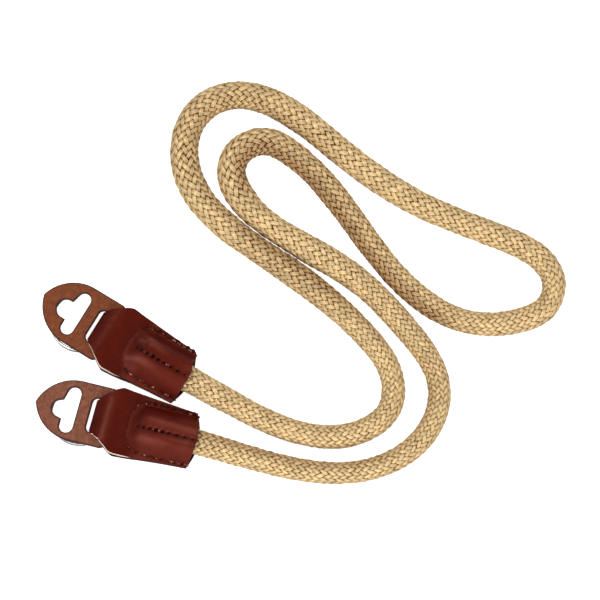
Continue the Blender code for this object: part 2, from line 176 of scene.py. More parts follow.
# ---------- where the two leather ends lie: x runs from the tab's tip to the rope, y across, z up
# The two were cut by hand and differ a little, in millimetres: how far the fold and the rest of the sleeve
# lie from their places in the tables, the tab's size, its sides' drift to one side, its hole and its slot.
ends = {
    "upper": {
        "tip": (-31.2 * mm, 34.05 * mm), "angle": -30.9, "ringX": 19.0, "ringY": -1.6,
        "foldShift": 1.2, "sleeveShift": 0.8, "sleeveY": -0.65, "mouthSlant": 0.9,
        "tabLength": 33.8, "tabHalfWidth": 13.2, "lean": -0.024,
        "holeShift": 1.0, "slotShift": 0.7, "lobe": (11.2, -0.5, 4.0),
        # the pocket's upper flank: where it ends, how steeply, and the groove pressed in beside it
        "peak": 0.50, "flankReach": 8.6, "flankPowers": (1.5, 1.0), "groove": 0.42,
        "stretch": (0.2, 1.0),  # how far the pocket's upper and lower halves are stretched, with painted shade on the upper half and painted light on the lower half that faces the front
        # how much wider the strip's low side is than its high one, by x
        "lowSide": (
            (25.5, 0.0), (26.8, -0.5), (27.8, -0.8), (29.9, -1.0), (31.0, -0.85), (33.0, -0.85), (34.0, -0.7),
            (35.0, -0.5), (36.0, -0.3), (37.0, -0.05), (39.0, -0.1), (42.0, -0.2), (45.0, -0.45), (50.0, -0.2),
            (60.0, -0.2), (67.0, -0.1),
        ),
        # and the same below the tab
        "lowSole": (
            (28.0, 0.0), (30.0, -0.3), (34.0, -0.1), (36.0, 0.25), (40.0, 0.35), (46.0, 0.1), (50.0, -0.1),
            (67.0, -0.1),
        ),
        # painted highlights: lighter streaks where gloss shines, as the photo shows them: from, to, half width, and
        # strength at both
        "worn": (((44.5, -5.6), (49.0, -4.3), 1.5, 0.85, 1.0), ((49.0, -4.3), (58.0, -4.0), 1.2, 0.9, 0.1),
                 ((46.0, 6.2), (51.0, 4.8), 1.4, 0.35, 0.5), ((51.0, 4.8), (60.0, 3.8), 1.4, 0.5, 0.0),
                 ((45.5, 3.5), (47.5, 3.5), 1.2, 0.5, 0.5),
                 ((45.5, -8.0), (49.0, -8.4), 1.8, 0.5, 0.3)),
        # and streaks without gloss there
        "dull": (((27.0, -8.0), (27.0, 8.0), 1.6, 0.7, 0.7), ((33.2, -12.0), (33.2, 12.0), 2.2, 0.5, 0.5),
                 ((45.0, 7.2), (67.0, 6.6), 1.5, 0.9, 0.9), ((52.0, 2.0), (67.0, 3.8), 1.8, 0.3, 0.6),
                 ((50.0, -1.6), (67.0, -1.6), 1.3, 0.4, 0.6)),
    },
    "lower": {
        "tip": (-33.8 * mm, -11.15 * mm), "angle": -14.6, "ringX": 19.4, "ringY": -0.35,
        "foldShift": 0.3, "sleeveShift": -0.8, "sleeveY": -0.2, "mouthSlant": 0.4,
        "tabLength": 33.0, "tabHalfWidth": 12.75, "lean": 0.0,
        "holeShift": 0.1, "slotShift": -0.4, "lobe": (10.9, -0.5, 3.6),
        "peak": 0.43, "flankReach": 9.5, "flankPowers": (1.3, 1.0), "groove": 0.12,
        # the pocket's halves: stretched, with painted shade on the upper half and painted light on the lower one
        "stretch": (0.7, 0.9),
        "lowSide": (
            (25.5, 0.0), (26.4, -1.0), (27.4, -1.1), (28.4, -1.4), (29.6, -2.05), (31.0, -1.95), (32.4, -1.95),
            (33.5, -1.85), (34.5, -1.57), (35.4, -1.2), (36.4, -0.85), (37.4, -0.7), (38.5, -0.6), (43.0, -0.75),
            (48.0, -0.4), (67.0, -0.4),
        ),
        "lowSole": (
            (28.0, 0.0), (30.0, -1.2), (32.0, -1.35), (34.0, -1.2), (35.5, -0.75), (37.0, -0.25), (41.0, -0.15),
            (46.0, -0.25), (67.0, -0.3),
        ),
        # painted highlights on the pocket, and a painted highlight band across the fold
        "worn": (((43.5, -6.0), (47.0, -4.8), 1.6, 0.1, 0.75), ((47.0, -4.8), (56.0, -4.6), 1.6, 0.7, 0.2),
                 ((54.0, -2.8), (66.0, -2.2), 1.2, 0.1, 0.3), ((46.5, 3.6), (54.0, 3.3), 1.7, 0.0, 0.45),
                 ((54.0, 3.3), (68.0, 2.8), 1.4, 0.3, 0.45),
                 ((30.7, -9.0), (30.9, 8.0), 0.9, 0.42, 0.34)),
        "dull": (((27.0, -8.0), (27.0, 8.0), 1.5, 0.5, 0.5), ((47.0, 7.5), (67.0, 7.5), 1.6, 0.5, 0.5),
                 ((55.0, 5.4), (67.0, 5.4), 1.4, 0.3, 0.8), ((46.0, -2.6), (62.0, -3.6), 1.4, 0.5, 0.4)),
    },
}


def endMatrix(end):
    return Matrix.Translation((*end["tip"], 0.0)) @ Matrix.Rotation(math.radians(end["angle"]), 4, "Z")


def placed(points, end):
    # millimetres in the end's own frame to metres in the part's frame
    matrix = np.array(endMatrix(end))
    return (np.asarray(points) * mm) @ matrix[:3, :3].T + matrix[:3, 3]


# ---------- rope
rope = {
    "diameter": 11.2,
    "innerEnd": 48.7,  # x inside the sleeve where the rope ends
    "mouth": 67.7,
    "easeRun": 24.0,
    "sameStrand": 60.0,  # parts of the rope nearer than this along it are one strand
    "lift": 1.75,  # height of its underside in the sleeve
    "squeezedHeight": 4.15,  # half height inside the leather
    # the route on the table from the upper end to the lower one
    "route": (
        (51.1, -14.3), (80.4, -25.8), (100.5, -24.3), (112.4, -15.0), (113.7, -1.9), (102.0, 17.1),
        (72.9, 42.5), (46.9, 61.1), (30.2, 80.5), (26.9, 100.1), (34.2, 114.8), (49.6, 120.5),
        (66.1, 115.9), (92.3, 96.1), (127.0, 72.0), (161.8, 57.4), (176.7, 48.6), (181.7, 39.1),
        (178.7, 28.7), (169.2, 23.1), (143.8, 22.4), (118.0, 39.2), (94.2, 70.6), (70.9, 95.6),
        (61.4, 100.0), (51.4, 97.1), (46.6, 87.8), (49.7, 77.4), (75.9, 55.1), (97.6, 41.5),
        (120.3, 18.5), (133.2, -5.5), (130.6, -20.0), (111.1, -37.7), (90.0, -41.5), (56.5, -35.5),
    ),
    # distance from the upper mouth along the rope, and its width there: the braid is pulled thin and
    # bunched up by turns
    "widths": (
        (0, 12.0), (8, 11.3), (15, 11.3), (28, 10.6), (58, 10.0), (70, 10.5), (91, 10.1), (102, 10.4),
        (112, 10.0), (135, 10.8), (150, 11.4), (165, 12.0), (185, 12.3), (205, 12.3), (217, 12.2), (227, 12.7),
        (250, 12.4), (266, 12.9), (276, 12.4), (307, 12.7), (319, 12.0), (351, 12.0), (393, 11.1), (423, 11.3),
        (445, 10.2), (461, 10.9), (488, 10.1), (502, 10.7), (529, 10.7), (567, 11.6), (580, 11.3), (607, 12.5),
        (632, 12.8), (650, 12.9), (672, 12.8), (684, 12.3), (700, 11.5), (712, 11.0), (735, 10.7), (750, 9.9),
        (777, 10.0), (816, 9.5), (848, 10.0), (876, 10.9),
    ),
    # and the distance from one yarn to the next in a row there
    "pitches": (
        (0, 3.2), (49, 3.18), (86, 2.82), (124, 3.06), (162, 3.46), (200, 3.6), (239, 4.03), (278, 3.4),
        (318, 3.78), (355, 3.74), (394, 3.49), (431, 3.28), (471, 2.92), (508, 3.27), (547, 3.5), (585, 3.56),
        (625, 4.14), (664, 3.73), (701, 3.08), (740, 2.85), (778, 2.84), (815, 3.17), (852, 3.09),
    ),
    # painted shade: where the photo shows the yarn darker and browner, mostly beside another strand, so it is
    # likely shade there: from and to, the side of it (1 left, -1 right, 0 all round), how much. An empty table
    # leaves it out.
    "browned": (
        (145, 200, -1, 0.8), (150, 195, 0, 0.35), (125, 150, -1, 0.3), (195, 330, -1, 0.4), (232, 300, 0, 0.15),
        (492, 640, 1, 0.95), (545, 620, 0, 0.15), (530, 600, -1, 0.25), (745, 765, -1, 0.3), (795, 890, -1, 0.45),
    ),
    "strandShadeFade": 22.0, "strandShadeSpread": 0.35,
    "wales": 16,  # rows of parallel yarn round the rope: probably a 32 carrier braid, two over and two under
    "yarnWidth": 1.16,  # as a share of the room between one yarn of a row and the next
    "yarnInset": 0.9,  # how much thinner the ring of the yarns' middles is
    "tipNarrow": 0.12, "tipFlat": 0.3,  # how much a pass narrows and flattens at its tips
    "uneven": {"place": 0.025, "width": 0.045, "height": 0.09},
    "skin": 0.03,  # the highest yarn lies this deep in the rope's outline
    "halfHeights": (4.9, 5.75),  # least and most
    "rolls": ((0.5, 61.0, 0.0), (0.35, 23.0, 1.0)),  # slow turns one way and back: size, run and start
    "core": {"rings": 420, "sides": 18, "depth": 0.72, "end": 0.4},
    "pathPoints": 300,
    "seed": 5,
}


def endPoint(end, x):
    angle = math.radians(end["angle"])
    return end["tip"][0] / mm + x * math.cos(angle), end["tip"][1] / mm + x * math.sin(angle)


def smoothCurve(points, steps=24):
    # natural cubic spline through the points, measured along their chords
    chords = np.hypot(*np.diff(points, axis=0).T)
    count = len(points)
    matrix = np.eye(count)
    right = np.zeros_like(points)
    slopes = np.diff(points, axis=0) / chords[:, None]
    for i in range(1, count - 1):
        matrix[i, i - 1 : i + 2] = chords[i - 1], 2 * (chords[i - 1] + chords[i]), chords[i]
        right[i] = 6 * (slopes[i] - slopes[i - 1])
    bend = np.linalg.solve(matrix, right)
    curve = []
    for i, chord in enumerate(chords):
        for step in range(steps):
            after = chord * step / steps
            before = chord - after
            curve.append(
                (bend[i] * before**3 + bend[i + 1] * after**3) / (6 * chord)
                + (points[i] / chord - bend[i] * chord / 6) * before
                + (points[i + 1] / chord - bend[i + 1] * chord / 6) * after
            )
    curve.append(points[-1])
    return np.array(curve)


def ropeLine():
    # the rope's middle line in millimetres, seen from above, a point every half millimetre
    beforeMouth = rope["mouth"] - 2
    start = [endPoint(ends["upper"], x) for x in (rope["innerEnd"], beforeMouth)]
    finish = [endPoint(ends["lower"], x) for x in (beforeMouth, rope["innerEnd"])]
    curve = smoothCurve(np.array(start + list(rope["route"]) + finish))
    along = np.concatenate([[0], np.cumsum(np.hypot(*np.diff(curve, axis=0).T))])
    even = np.linspace(0, along[-1], int(along[-1] * 2) + 1)
    return even, np.column_stack([np.interp(even, along, curve[:, k]) for k in (0, 1)])


ropeAlong, ropeFlat = ropeLine()
ropeLength = ropeAlong[-1]


def roomBeside():
    # half the way to the rope's nearest other strand: there the strands may touch, but not cross
    room = np.empty(len(ropeAlong))
    for i, s in enumerate(ropeAlong):
        others = ropeFlat[np.abs(ropeAlong - s) > rope["sameStrand"]]
        room[i] = np.hypot(*(others - ropeFlat[i]).T).min() / 2
    return room


ropeRoom = roomBeside()


def ropeFrame(s):
    # centre, sideways direction, half width, half height at the distances s along the rope
    hidden = rope["mouth"] - rope["innerEnd"]
    fromEnd = np.minimum(s, ropeLength - s)
    past = ease((fromEnd - hidden + 2) / rope["easeRun"])
    stations, widths = np.array(rope["widths"]).T
    halfWidth = np.minimum(np.interp(s - hidden, stations, widths) / 2, np.interp(s, ropeAlong, ropeRoom))
    free = np.clip(rope["diameter"] ** 2 / 4 / halfWidth, *rope["halfHeights"])
    halfHeight = rope["squeezedHeight"] + (free - rope["squeezedHeight"]) * past
    z = halfHeight + rope["lift"] * (1 - past)
    ahead = np.gradient(ropeFlat, ropeAlong, axis=0)
    x, y, dx, dy = (np.interp(s, ropeAlong, column) for column in (*ropeFlat.T, *ahead.T))
    size = np.hypot(dx, dy)
    return np.stack([x, y, z], -1), np.stack([-dy / size, dx / size, 0 * x], -1), halfWidth, halfHeight


def ropeSurface(s, turn, depth):
    # points at the distance s along the rope, the angle turn round it, and depth below its surface
    centre, side, halfWidth, halfHeight = ropeFrame(s)
    across = (halfWidth - depth) * np.cos(turn)
    up = (halfHeight - depth) * np.sin(turn)
    points = centre + side * across[..., None]
    points[..., 2] += up
    return points


def ropeTwist(s):
    return sum(size * np.sin(s / run + start) for size, run, start in rope["rolls"])


# where a yarn's outline is sampled: along it, and across its two plies, with how deep it dips there in millimetres
# and how much of the shade of the braid lies there
floatAlong = np.array([-0.66, -0.42, 0.0, 0.42, 0.66])
floatDip = np.array([1.05, 0.34, 0.0, 0.34, 1.05])
alongShade = np.array([1.0, 0.2, 0.0, 0.2, 1.0])
floatAcross = np.array([-1.0, -0.54, 0.0, 0.54, 1.0])
floatFall = np.array([0.62, 0.04, 0.14, 0.04, 0.62])
acrossShade = np.array([0.72, 0.0, 0.16, 0.0, 0.72])


def braidPoints(rng):
    # one small pillow of yarn for every place where it passes over
    uneven, tipAt = rope["uneven"], floatAlong[-1]
    stations, pitches = np.array(rope["pitches"]).T
    pitchAt = np.interp(ropeAlong - rope["mouth"] + rope["innerEnd"], stations, pitches)
    rowsBefore = np.concatenate([[0], np.cumsum(np.diff(ropeAlong) / pitchAt[1:])])
    rows = int(rowsBefore[-1]) - 1
    wale, row = np.meshgrid(np.arange(rope["wales"]), np.arange(rows), indexing="ij")
    wale, row = wale.ravel(), row.ravel()
    lean = np.where(wale % 2 == 0, 1.0, -1.0)
    middle = row + 0.75 + 0.5 * (wale % 2) + rng.normal(0, uneven["place"], len(row))
    pitch = np.interp(middle, rowsBefore, pitchAt)
    around = 2 * math.pi / rope["wales"]
    waleWidth = math.pi * (rope["diameter"] - rope["yarnInset"]) / rope["wales"]
    angle = np.arctan2(waleWidth, pitch)
    width = rope["yarnWidth"] * pitch * np.sin(angle) * (1 + rng.normal(0, uneven["width"], len(row)))
    puff = rng.normal(0, uneven["height"], len(row))
    p, q = np.meshgrid(floatAlong, floatAcross, indexing="ij")
    dip = floatDip[:, None] + floatFall[None, :] * (1 - rope["tipFlat"] * (floatAlong[:, None] / tipAt) ** 2)
    shade = np.clip(alongShade[:, None] + acrossShade[None, :], 0, 1).ravel() + np.zeros((len(row), 1))
    p, q, dip = p.ravel()[None], q.ravel()[None], dip.ravel()[None]
    narrow = 1 - rope["tipNarrow"] * (p / tipAt) ** 4
    sideways = q * narrow * width[:, None] / 2
    s = np.interp(middle[:, None] + p, rowsBefore, ropeAlong) - (lean * np.sin(angle))[:, None] * sideways
    roundWay = lean[:, None] * p * waleWidth + sideways * np.cos(angle)[:, None]
    turn = (wale[:, None] + 0.5) * around + roundWay / waleWidth * around + ropeTwist(s)
    inset = np.clip(dip - puff[:, None], 0.0, None) + rope["skin"]
    points = ropeSurface(s, turn, inset)
    yarnLength = np.hypot(waleWidth, pitch)
    u = p * yarnLength[:, None] + rng.uniform(0, 400, len(row))[:, None]
    v = sideways + 0 * s
    tone = rng.uniform(0, 1, len(row))[:, None] + 0 * s
    return points, np.stack([u, v], -1), {"shade": shade, "tone": tone, "browned": strandShadeShare(s, turn)}


# how much painted shade from the neighbouring strands lies at each point
def strandShadeShare(s, turn):
    fade = rope["strandShadeFade"]
    share = np.zeros(np.broadcast(s, turn).shape)
    past = s - rope["mouth"] + rope["innerEnd"]
    for start, stop, way, strength in rope["browned"]:
        within = ease((past - start) / fade + 0.5) * ease((stop - past) / fade + 0.5)
        facing = ease(way * np.cos(turn) + rope["strandShadeSpread"]) if way else 1.0
        share = 1 - (1 - share) * (1 - strength * within * facing)
    return share


def ropeCore():
    # the shaded inside of the braid, which shows between the yarns
    core = rope["core"]
    rings = np.linspace(core["end"], ropeLength - core["end"], core["rings"])
    turns = np.linspace(0, 2 * math.pi, core["sides"], endpoint=False)
    s, turn = np.meshgrid(rings, turns, indexing="ij")
    return ropeSurface(s, turn, np.full(s.shape, core["depth"]))


def makeRope(satin, inside):
    rng = np.random.default_rng(rope["seed"])
    points, flat, values = braidPoints(rng)
    count, perYarn = points.shape[:2]
    n = len(floatAcross)
    cell = np.array([[i * n + j, (i + 1) * n + j, (i + 1) * n + j + 1, i * n + j + 1]
                     for i in range(len(floatAlong) - 1) for j in range(n - 1)])
    faces = (np.arange(count)[:, None, None] * perYarn + cell[None]).reshape(-1, 4)
    lean = (np.arange(count) // (count // rope["wales"])) % 2
    flip = np.repeat(lean == 0, len(cell))
    faces[flip] = faces[flip][:, ::-1]
    core = ropeCore()
    ringCount, sideCount = core.shape[:2]
    first = count * perYarn
    i, j = np.meshgrid(np.arange(ringCount - 1), np.arange(sideCount), indexing="ij")
    i, j = i.ravel(), j.ravel()
    k = (j + 1) % sideCount
    near, far = first + i * sideCount, first + (i + 1) * sideCount
    tube = np.stack([near + j, far + j, far + k, near + k], 1)
    allFaces = [list(face) for face in np.concatenate([faces, tube[:, ::-1]])]
    lastRing = first + (ringCount - 1) * sideCount
    allFaces += [list(range(first, first + sideCount))[::-1], list(range(lastRing, lastRing + sideCount))]
    allPoints = np.concatenate([points.reshape(-1, 3), core.reshape(-1, 3)]) * mm
    piece = addPiece("rope_braid", allPoints, allFaces, satin, inside)
    mesh = piece.data
    slots = np.zeros(len(allFaces), np.int32)
    slots[len(faces) :] = 1
    mesh.polygons.foreach_set("material_index", slots)
    extra = ringCount * sideCount
    for name, share in values.items():
        storeValues(mesh, name, np.concatenate([share.ravel(), np.ones(extra)]))
    storeMap(mesh, np.concatenate([flat.reshape(-1, 2), np.zeros((extra, 2))]))
    mesh.shade_smooth()
    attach(piece, "root")
    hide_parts("rope")
    print("rope braid:", count, "yarn passes,", round(ropeLength), "mm")
    return piece


def satinYarn():
    # satin nylon yarn, spun of many smooth fibres: a soft sheen along each pass, and painted warm brown shade in the
    # gaps
    material, shader, add = newMaterial("satin braided yarn", {
        "Roughness": 0.38, "Anisotropic": 0.75, "Anisotropic Rotation": 0.25,
    })
    shaded, tone, browned = (
        add("Attribute", {"attribute_name": name}, out="Fac") for name in ("shade", "tone", "browned")
    )
    place = add("UVMap", {"uv_map": "surface"})
    drawn = add("Mapping", {"Scale": (0.35, 5.0, 1.0)}, {"Vector": place})
    fibres = add("TexNoise", {"Scale": 1.0, "Detail": 3.0}, {"Vector": drawn})
    # painted shade of the braid: the yarn turns darker and browner towards the gaps
    depth = add("ValToRGB", {
        "stops": ((0.0, "ebd09f"), (0.25, "d9b983"), (0.6, "98692b"), (1.0, "301300")),
    }, {"Fac": shaded})
    # each yarn and each fibre is a little lighter or darker
    byYarn = add("Math", {"operation": "MULTIPLY_ADD", 1: 0.28, 2: 0.78}, {0: tone})
    byFibre = add("Math", {"operation": "MULTIPLY_ADD", 1: 0.30, 2: 0.85}, {0: fibres})
    both = add("Math", {"operation": "MULTIPLY"}, {0: byYarn, 1: byFibre})
    yarn = add("Mix", multiplied, {6: depth, 7: both}, out=2)
    # the painted shade beside other strands lies mostly between the yarns, their tops stay light
    deep = add("MapRange", {"From Max": 0.6, "To Min": 0.5, "To Max": 1.0}, {"Value": shaded})
    inGaps = add("Math", {"operation": "MULTIPLY"}, {0: browned, 1: deep})
    plug(shader, {
        "Base Color": add("Mix", {**multiplied, 7: "987138"}, {"Factor": inGaps, 6: yarn}, out=2),
        # no sheen in the gaps
        "Specular IOR Level": add("MapRange", {"To Min": 0.6, "To Max": 0.0}, {"Value": shaded}),
        "Metallic": add("MapRange", {"To Min": 0.18, "To Max": 0.0}, {"Value": shaded}),
        "Normal": add("Bump", {"Strength": 0.5, "Distance": 0.00012}, {"Height": fibres}),
        "Tangent": add("Tangent", {"direction_type": "UV_MAP", "uv_map": "surface"}),
    })
    return material


# the same yarn in the shade of the braid: flat and dark, with no sheen
ropeInside = grainMaterial(
    "shaded yarn inside the braid", {"Roughness": 0.9, "Specular IOR Level": 0.1},
    {"Scale": 1400.0, "Detail": 2.0}, ((0.3, "3c1a02"), (0.7, "5c300a")),
)
makeRope(satinYarn(), ropeInside)


# ---------- leather sleeves: one strip each, folded round and sewn shut over the rope
sleeve = {
    "thickness": 1.45,
    "foldX": 24.3,  # the outermost line of the fold
    "foldDepth": 3.4,  # how far the fold's lower half curves back
    "foldReach": 7.2,  # and its upper half, which is gentler
    "foldHeight": 9.15,
    # half widths round the fold, by degrees from its outermost line, below it and above it
    "underFold": ((0, 6.6), (12, 6.6), (30, 6.7), (50, 7.6), (70, 8.9), (90, 10.0)),
    "overFold": (
        (0, 6.6), (30, 6.75), (35, 7.4), (39, 8.15), (50, 8.9), (60, 9.75), (70, 10.55), (80, 11.3), (90, 11.95),
    ),
    # the strip is pared thinner where it bends over the tab
    "pared": 0.62, "paredTurns": (20, 34, 62, 85),
    "columns": ("x", "halfWidth", "sole", "deck"),
    "rows": (
        (28.1, 10.0, 0.0, 9.15), (31.5, 11.95, 0.0, 9.15), (33.5, 13.2, 0.0, 9.12), (35.4, 14.1, 0.0, 8.85),
        (37.3, 14.0, 0.1, 8.15), (39.0, 13.85, 0.6, 7.2), (41.0, 13.8, 1.2, 6.3), (42.4, 13.75, 1.6, 5.85),
        (43.8, 13.65, 1.9, 5.6), (45.2, 13.6, 2.1, 5.5), (46.8, 13.4, 2.4, 5.55), (50.0, 13.1, 2.8, 5.8),
        (58.0, 12.4, 3.0, 6.0), (67.7, 11.7, 3.1, 6.2),
    ),
    "mouthBulge": 2.6,  # how far the mouth reaches past its corners in the middle
    "mouthRun": (58.0, 67.7),
    "shiftRun": (28.1, 32.0),
    "stripWidth": 27.0,
    "step": 0.36,  # size of the mesh's squares
    "ripple": 0.10,  # how far the hand-worked leather is from even
    "edgeRadius": 0.17,
    "slant": 0.6,
    # redder leather on the lower sewn margin, partly stretched and partly painted light from the front, and at the
    # pocket's foot: how much, and where
    "marginStretchAndLight": 0.5, "marginY": (6.0, 9.5), "marginX": (43.0, 49.0),
    "footStretch": 0.55, "footX": 43.0, "footWidth": 2.2,
    "paleTurn": 25, "paleX": (41.0, 48.0),  # the pale cut shows past this turn, and fades out over these x
    "blotch": 6.0,  # size of the ripple's bumps
}
# the two lobes that the rope pushes up, with the middle seam pulled down between them
lobes = {
    "height": 7.2, "frontX": 40.9, "frontRun": 9.0, "frontWidth": 0.70,
    "seamY": -0.3, "lowerPeak": 0.26, "lowerReach": 10.4, "lowerPowers": (1.5, 1.2),
    "creaseDepth": 0.17, "creaseWidth": 1.7, "creaseX": (43.5, 47.0), "creaseFade": (60.0, 67.0),
    "grooveX": (43.0, 45.0), "grooveWidth": 0.55,
}
stitch = {
    # the needle's path from the mouth round the front of the pocket, one side of it, and along the middle
    "arch": (
        (68.4, 10.3), (60.0, 10.5), (52.0, 10.7), (47.0, 10.5), (44.0, 9.6), (41.9, 7.8), (40.8, 5.0), (40.4, 1.7),
        (40.35, 0.0),
    ),
    "middle": ((44.9, -0.3), (68.9, -0.3)),
    "pitch": 2.75,
    # depth of the needle holes and how uneven it is: deep along the middle and shallower at the mouth, faint round the
    # pocket's front and deeper along its sides
    "middleHole": (0.86, 0.14), "mouthLoss": 0.3, "mouthRun": (54.0, 60.0),
    "frontHole": 0.3, "sideHole": (0.24, 0.12), "sideRun": (42.0, 47.0),
    "threadPull": 0.2, "pullWidth": 0.75, "holeWidth": (0.35, 0.6),
    "radius": 0.33, "bury": 0.55, "crown": 0.10, "sides": 8, "cuts": (-0.75, -0.4, 0.0, 0.4, 0.75), "fill": 0.86,
    "unevenCrown": 0.05, "unevenSlant": 0.12,
    "frontX": 43,  # those before it, round the pocket's front, are as dark as the leather
    "floor": 0.045, "press": 0.1,  # where the lower ones are pressed flat
}
sleeveColumns = {name: np.array([row[k] for row in sleeve["rows"]]) for k, name in enumerate(sleeve["columns"])}


def readRow(x, name, blur=1.3):
    # a value of the sleeve's table at x, with its corners rounded off
    offsets = np.array([-1.0, -0.5, 0.0, 0.5, 1.0]) * blur
    weights = np.array([1, 2, 2, 2, 1]) / 8
    reads = [w * np.interp(x + o, sleeveColumns["x"], sleeveColumns[name]) for o, w in zip(offsets, weights)]
    return sum(reads)


def ramp(x, span):
    return ease((x - span[0]) / (span[1] - span[0]))


def lobeShare(end, x, y):
    # 0 on the sewn margin, 1 along the tops of the two lobes
    front = np.clip((x - lobes["frontX"]) / lobes["frontRun"], 0, 1)
    rise = np.sin(front * math.pi / 2) ** 1.5
    narrow = lobes["frontWidth"] + (1 - lobes["frontWidth"]) * ease(front * 1.3)
    away = y - lobes["seamY"]
    above = away > 0
    reach = np.where(above, end["flankReach"] - lobes["seamY"], lobes["lowerReach"] + lobes["seamY"]) * narrow
    out = np.clip(np.abs(away) / reach, 0, 1)
    peak = np.where(above, end["peak"], lobes["lowerPeak"])
    fall = np.clip((out - peak) / (1 - peak), 0, 1)
    steep = np.where(above, end["flankPowers"][0], lobes["lowerPowers"][0])
    soft = np.where(above, end["flankPowers"][1], lobes["lowerPowers"][1])
    return rise * (1 - fall**steep) ** soft


def seamCrease(x, y):
    # how much of the lobes' height is left beside the middle seam
    depth = lobes["creaseDepth"] * ramp(x, lobes["creaseX"]) * (1 - 0.55 * ramp(x, lobes["creaseFade"]))
    return 1 - depth * np.exp(-np.abs(y - lobes["seamY"]) / lobes["creaseWidth"])


def shiftedX(end, x):
    share = np.clip((x - sleeve["shiftRun"][0]) / (sleeve["shiftRun"][1] - sleeve["shiftRun"][0]), 0, 1)
    return x + end["foldShift"] + (end["sleeveShift"] - end["foldShift"]) * share


def evenSteps(points, pitch):
    points = np.array(points)
    along = np.concatenate([[0], np.cumsum(np.hypot(*np.diff(points, axis=0).T))])
    count = int(round(along[-1] / pitch))
    stops = np.linspace(0, along[-1], count + 1)
    return np.column_stack([np.interp(stops, along, points[:, k]) for k in (0, 1)])


def stitchRows():
    arch = np.array(stitch["arch"] + tuple((x, -y) for x, y in reversed(stitch["arch"][:-1])))
    return [evenSteps(path, stitch["pitch"]) for path in (smoothCurve(arch, 8), stitch["middle"])]


def awayFrom(x, y, start, stop):
    # distance of (x, y) from the line between two points, and how far along it that is
    way = np.subtract(stop, start)
    t = np.clip(((x - start[0]) * way[0] + (y - start[1]) * way[1]) / (way @ way), 0, 1)
    return np.hypot(x - start[0] - t * way[0], y - start[1] - t * way[1]), t


def streakShare(streaks, x, y):
    share = np.zeros(x.shape)
    for start, stop, width, first, last in streaks:
        away, t = awayFrom(x, y, start, stop)
        share = np.maximum(share, (first + (last - first) * t) * np.exp(-((away / width) ** 2)))
    return share


def stretchAndLitShare(end, x, y, share):
    # the pocket's upper flank is as dark as the flat leather, with painted shade, its lower one is redder all the way
    # down, stretched and with painted light from the front
    upper, lower = end["stretch"]
    lowHalf = lower * share**0.2 * (0.35 + 0.65 * np.clip((-y - 1.5) / 3.5, 0, 1))
    margin = sleeve["marginStretchAndLight"] * ramp(-y, sleeve["marginY"]) * ramp(x, sleeve["marginX"])
    foot = sleeve["footStretch"] * np.exp(-(((x - sleeve["footX"]) / sleeve["footWidth"]) ** 2))
    foot = foot * ramp(sleeve["marginY"][1] - np.abs(y), (0.0, 3.0))
    return np.maximum(np.where(y > lobes["seamY"], upper * share**1.3, np.maximum(lowHalf, margin)), foot)


def holeDepths(row):
    uneven = np.random.default_rng(len(row)).normal(0, 1, len(row))
    if np.abs(row[:, 1]).max() < 1:
        depth, change = stitch["middleHole"]
        return (depth + change * uneven) * (1 - stitch["mouthLoss"] * ramp(row[:, 0], stitch["mouthRun"]))
    depth, change = stitch["sideHole"]
    return stitch["frontHole"] + (depth + change * uneven) * ramp(row[:, 0], stitch["sideRun"])


def stitchPull(x, y):
    # how far the thread pulls the leather down at (x, y), in millimetres
    pull = np.zeros(x.shape)
    least, more = stitch["holeWidth"]
    for row in stitchRows():
        marks = [(stitch["threadPull"], awayFrom(x, y, start, stop)[0], stitch["pullWidth"])
                 for start, stop in zip(row, row[1:])]
        marks += [(depth, np.hypot(x - hole[0], y - hole[1]), least + more * depth)
                  for hole, depth in zip(row, holeDepths(row))]
        for depth, away, width in marks:
            pull = np.maximum(pull, depth * np.exp(-((away / width) ** 2)))
    return pull


def sleeveShell(end, x, y, top):
    # points of the sleeve's outer skin behind the fold, and how far it is pressed in there
    halfWidth = readRow(x, "halfWidth", 0.5)
    share = lobeShare(end, x, y)
    pull = stitchPull(x, y)
    groove = np.exp(-(((y - end["flankReach"]) / lobes["grooveWidth"]) ** 2)) * ramp(x, lobes["grooveX"])
    groove = groove * end["groove"]
    upper = readRow(x, "deck") + lobes["height"] * share * seamCrease(x, y) - pull - groove
    under = readRow(x, "sole") * (1 - share) + pull * (1 - 0.75 * share)
    side = (y - end["sleeveY"]) / halfWidth
    weight = np.clip((x - sleeve["mouthRun"][0]) / (sleeve["mouthRun"][1] - sleeve["mouthRun"][0]), 0, 1)
    outline = sleeve["mouthBulge"] * (1 - side**2) - end["mouthSlant"] * side
    points = np.stack([shiftedX(end, x) + weight * outline, y, np.where(top, upper, under)], -1)
    # the groove's share adds painted shade to the darkening of the needle holes
    return points, pull + 0.6 * groove, share


def sleevePath():
    # the strip's run from the mouth's lower edge round the fold to the upper edge:
    # x, the turn round the fold in degrees (-90 below it, 90 above), and the distance along the strip
    step, mouth = sleeve["step"], sleeve["rows"][-1][0]
    runs = {}
    for name in ("foldDepth", "foldReach"):
        front = sleeve["foldX"] + sleeve[name]
        straight = np.linspace(front, mouth, int(round((mouth - front) / step)) + 1)
        # about the length of a quarter of the fold's ellipse
        quarter = math.pi / 2 * math.hypot(sleeve[name], sleeve["foldHeight"] / 2) / math.sqrt(2)
        count = int(round(quarter / step))
        turns = np.linspace(0, 90, count + 1)
        curved = sleeve["foldX"] + sleeve[name] * (1 - np.cos(np.radians(turns)))
        runs[name] = np.concatenate([curved[:-1], straight]), np.concatenate([turns[:-1], np.full(len(straight), 90.0)])
    x = np.concatenate([runs["foldDepth"][0][::-1], runs["foldReach"][0][1:]])
    turn = np.concatenate([-runs["foldDepth"][1][::-1], runs["foldReach"][1][1:]])
    return x, turn, np.arange(len(x)) * step


